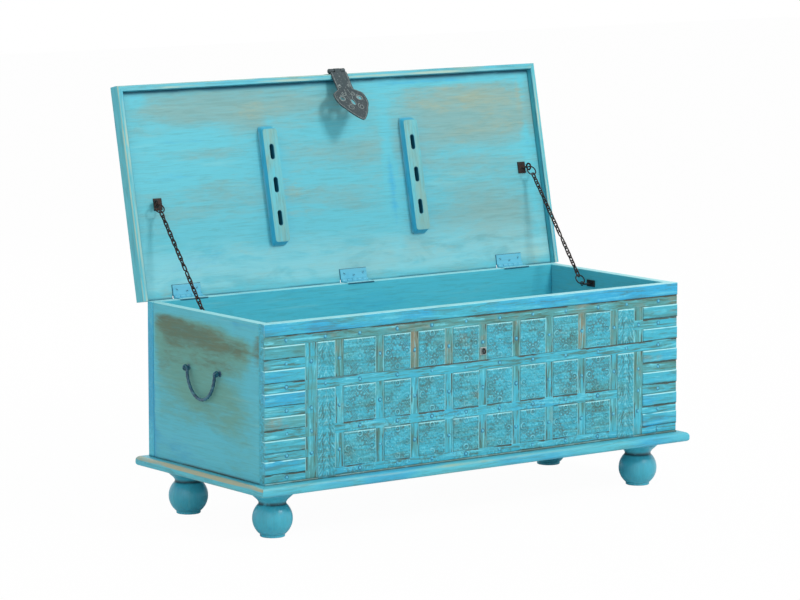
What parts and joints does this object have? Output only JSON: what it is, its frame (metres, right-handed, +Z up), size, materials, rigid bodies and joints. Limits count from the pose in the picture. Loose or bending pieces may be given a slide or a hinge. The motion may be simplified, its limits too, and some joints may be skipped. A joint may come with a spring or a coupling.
{
  "type": "storage chest",
  "caption": "Carved wooden blanket chest on ball feet, its slotted hinged lid held open by side chains, with a hasp and drop handles.",
  "frame": {"origin": "centre of the box's inner floor, the top face of the bottom board", "axes": "+X along the chest's length to the right seen from the front, -Y out of the carved front, +Z up; lid open at rest"},
  "size_m": [1.1, 0.5553, 0.8807],
  "materials": {
    "painted_wood": "distressed turquoise paint over grained wood, satin",
    "painted_base": "turquoise paint, satin, worn at the edges",
    "painted_straps": "hammered straps under turquoise paint",
    "painted_iron": "painted over with turquoise, satin",
    "dark_iron": "dark rusty iron, dull",
    "hasp_iron": "dark grey wrought iron, dull, faintly embossed"
  },
  "bodies": {
    "chest": {"front_board": "painted_wood", "back_board": "painted_wood", "left_end_board": "painted_wood", "right_end_board": "painted_wood", "bottom_board": "painted_wood", "base_rail_front": "painted_base", "base_rail_back": "painted_base", "base_rail_left": "painted_base", "base_rail_right": "painted_base", "foot_front_left": "painted_base", "foot_front_right": "painted_base", "foot_rear_left": "painted_base", "foot_rear_right": "painted_base", "top_band_straps": "painted_straps", "middle_band_straps": "painted_straps", "left_column_straps": "painted_straps", "right_upper_straps": "painted_straps", "right_lower_straps": "painted_straps", "lock_staple": "dark_iron", "left_hinge_lower_leaf": "painted_iron", "left_hinge_pin": "painted_iron", "middle_hinge_lower_leaf": "painted_iron", "middle_hinge_pin": "painted_iron", "right_hinge_lower_leaf": "painted_iron", "right_hinge_pin": "painted_iron", "left_chain_box_bracket": "dark_iron", "left_handle_front_eye": "painted_iron", "left_handle_rear_eye": "painted_iron", "right_chain_box_bracket": "dark_iron", "right_handle_front_eye": "painted_iron", "right_handle_rear_eye": "painted_iron"},
    "lid": {"lid_board": "painted_wood", "lid_rim_front": "painted_wood", "lid_rim_left": "painted_wood", "lid_rim_right": "painted_wood", "left_batten": "painted_wood", "right_batten": "painted_wood", "left_hinge_upper_leaf": "painted_iron", "middle_hinge_upper_leaf": "painted_iron", "right_hinge_upper_leaf": "painted_iron", "left_chain_lid_bracket": "dark_iron", "right_chain_lid_bracket": "dark_iron", "hasp_plate": "hasp_iron", "hasp_pin": "hasp_iron"},
    "hasp_strap": {"hasp_strap": "hasp_iron"},
    "left_bail": {"left_handle_bail": "painted_iron"},
    "left_chain_upper": {"left_chain_upper_ring": "dark_iron", "left_chain_upper": "dark_iron"},
    "left_chain_middle": {"left_chain_middle": "dark_iron"},
    "left_chain_lower": {"left_chain_lower_ring": "dark_iron", "left_chain_lower": "dark_iron"},
    "right_bail": {"right_handle_bail": "painted_iron"},
    "right_chain_upper": {"right_chain_upper_ring": "dark_iron", "right_chain_upper": "dark_iron"},
    "right_chain_middle": {"right_chain_middle": "dark_iron"},
    "right_chain_lower": {"right_chain_lower_ring": "dark_iron", "right_chain_lower": "dark_iron"}
  },
  "joints": [
    {"name": "lid_hinge", "type": "hinge", "parent": "chest", "child": "lid", "pos_m": [0, 0.2155, 0.3103], "axis": [1, 0, 0], "range_deg": [0, 102]},
    {"name": "hasp_swing", "type": "hinge", "parent": "lid", "child": "hasp_strap", "pos_m": [0.012, 0.3058, 0.74809], "axis": [-1, 0, 0], "range_deg": [0, 62.5]},
    {"name": "left_handle_swing", "type": "hinge", "parent": "chest", "child": "left_bail", "pos_m": [-0.5385, 0.0037, 0.191], "axis": [0, 1, 0], "range_deg": [0, 160]},
    {"name": "right_handle_swing", "type": "hinge", "parent": "chest", "child": "right_bail", "pos_m": [0.5385, 0.0037, 0.191], "axis": [0, -1, 0], "range_deg": [0, 160]},
    {"name": "left_chain_upper_fold", "type": "hinge", "parent": "lid", "child": "left_chain_upper", "pos_m": [-0.484, 0.24136, 0.50171], "axis": [1, 0, 0], "range_deg": [-65, 0]},
    {"name": "left_chain_middle_fold", "type": "hinge", "parent": "left_chain_upper", "child": "left_chain_middle", "pos_m": [-0.484, 0.16248, 0.40474], "axis": [1, 0, 0], "range_deg": [0, 80]},
    {"name": "left_chain_lower_fold", "type": "hinge", "parent": "chest", "child": "left_chain_lower", "pos_m": [-0.484, 0.061, 0.28], "axis": [1, 0, 0], "range_deg": [-143, 0]},
    {"name": "right_chain_upper_fold", "type": "hinge", "parent": "lid", "child": "right_chain_upper", "pos_m": [0.491, 0.24535, 0.52049], "axis": [1, 0, 0], "range_deg": [-65, 0]},
    {"name": "right_chain_middle_fold", "type": "hinge", "parent": "right_chain_upper", "child": "right_chain_middle", "pos_m": [0.491, 0.1693, 0.42128], "axis": [1, 0, 0], "range_deg": [0, 80]},
    {"name": "right_chain_lower_fold", "type": "hinge", "parent": "chest", "child": "right_chain_lower", "pos_m": [0.491, 0.061, 0.28], "axis": [1, 0, 0], "range_deg": [-143, 0]}
  ],
  "couplings": [
    {"joint": "hasp_swing", "follows": "lid_hinge", "ratio": 0.612},
    {"joint": "left_chain_upper_fold", "follows": "lid_hinge", "ratio": -0.6163},
    {"joint": "left_chain_middle_fold", "follows": "lid_hinge", "ratio": 0.7145},
    {"joint": "left_chain_lower_fold", "follows": "lid_hinge", "ratio": -1.3811},
    {"joint": "right_chain_upper_fold", "follows": "lid_hinge", "ratio": -0.6326},
    {"joint": "right_chain_middle_fold", "follows": "lid_hinge", "ratio": 0.78},
    {"joint": "right_chain_lower_fold", "follows": "lid_hinge", "ratio": -1.3973}
  ]
}
